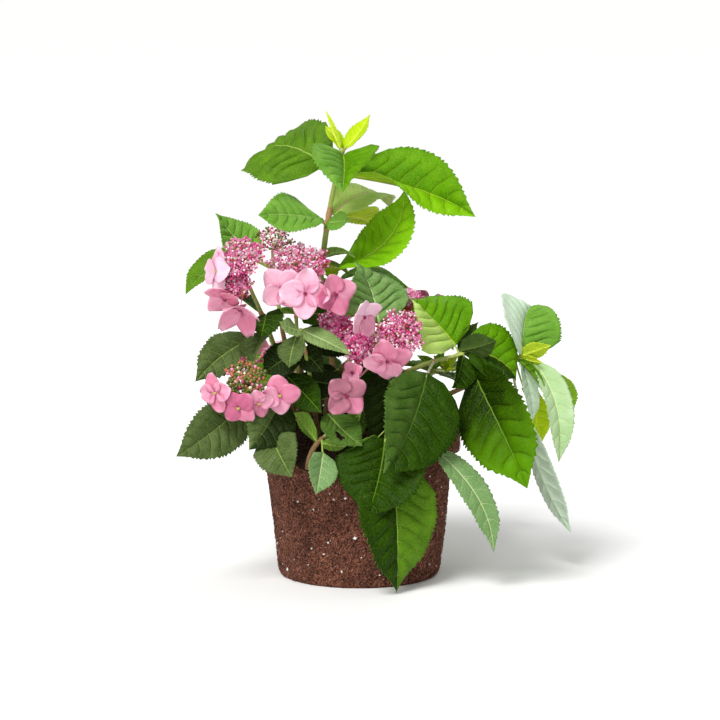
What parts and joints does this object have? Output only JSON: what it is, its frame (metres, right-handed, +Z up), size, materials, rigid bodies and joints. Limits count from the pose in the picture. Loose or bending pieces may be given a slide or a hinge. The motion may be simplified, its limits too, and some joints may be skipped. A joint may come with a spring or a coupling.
{
  "type": "lacecap hydrangea shrub on bare root ball",
  "caption": "Leafy lacecap hydrangea shrub with pink flower heads, standing on its bare root ball, freed from a pot.",
  "frame": {"origin": "centre of the root ball's flat underside", "axes": "+Z up along the root ball's axis, -Y towards the plant's front, +X towards the front's right"},
  "size_m": [0.3219, 0.2694, 0.3753],
  "materials": {
    "root_ball": "rough fibrous coir and peat",
    "stem": "green to brown young bark",
    "leaf": "matt to satin leaves",
    "petal": "soft translucent pink sepals",
    "bloom": "tiny magenta and cream buds"
  },
  "bodies": {
    "root": {"root_ball": "root_ball", "tall_cane": "stem", "tall_foliage": "leaf", "rear_left_cane": "stem", "rear_left_foliage": "leaf", "left_head_cane": "stem", "left_head_foliage": "leaf", "middle_head_cane": "stem", "middle_head_foliage": "leaf", "rosette_cane": "stem", "rosette_foliage": "leaf", "low_left_cane": "stem", "low_left_foliage": "leaf", "right_head_cane": "stem", "right_head_foliage": "leaf", "right_branch_cane": "stem", "right_branch_foliage": "leaf", "far_right_cane": "stem", "far_right_foliage": "leaf", "front_right_cane": "stem", "front_right_foliage": "leaf", "front_left_cane": "stem", "front_left_foliage": "leaf", "rear_high_cane": "stem", "rear_high_foliage": "leaf", "rear_right_cane": "stem", "rear_right_foliage": "leaf", "rear_low_cane": "stem", "rear_low_foliage": "leaf", "rear_left_low_cane": "stem", "rear_left_low_foliage": "leaf", "rear_right_low_cane": "stem", "rear_right_low_foliage": "leaf"}
  },
  "joints": []
}
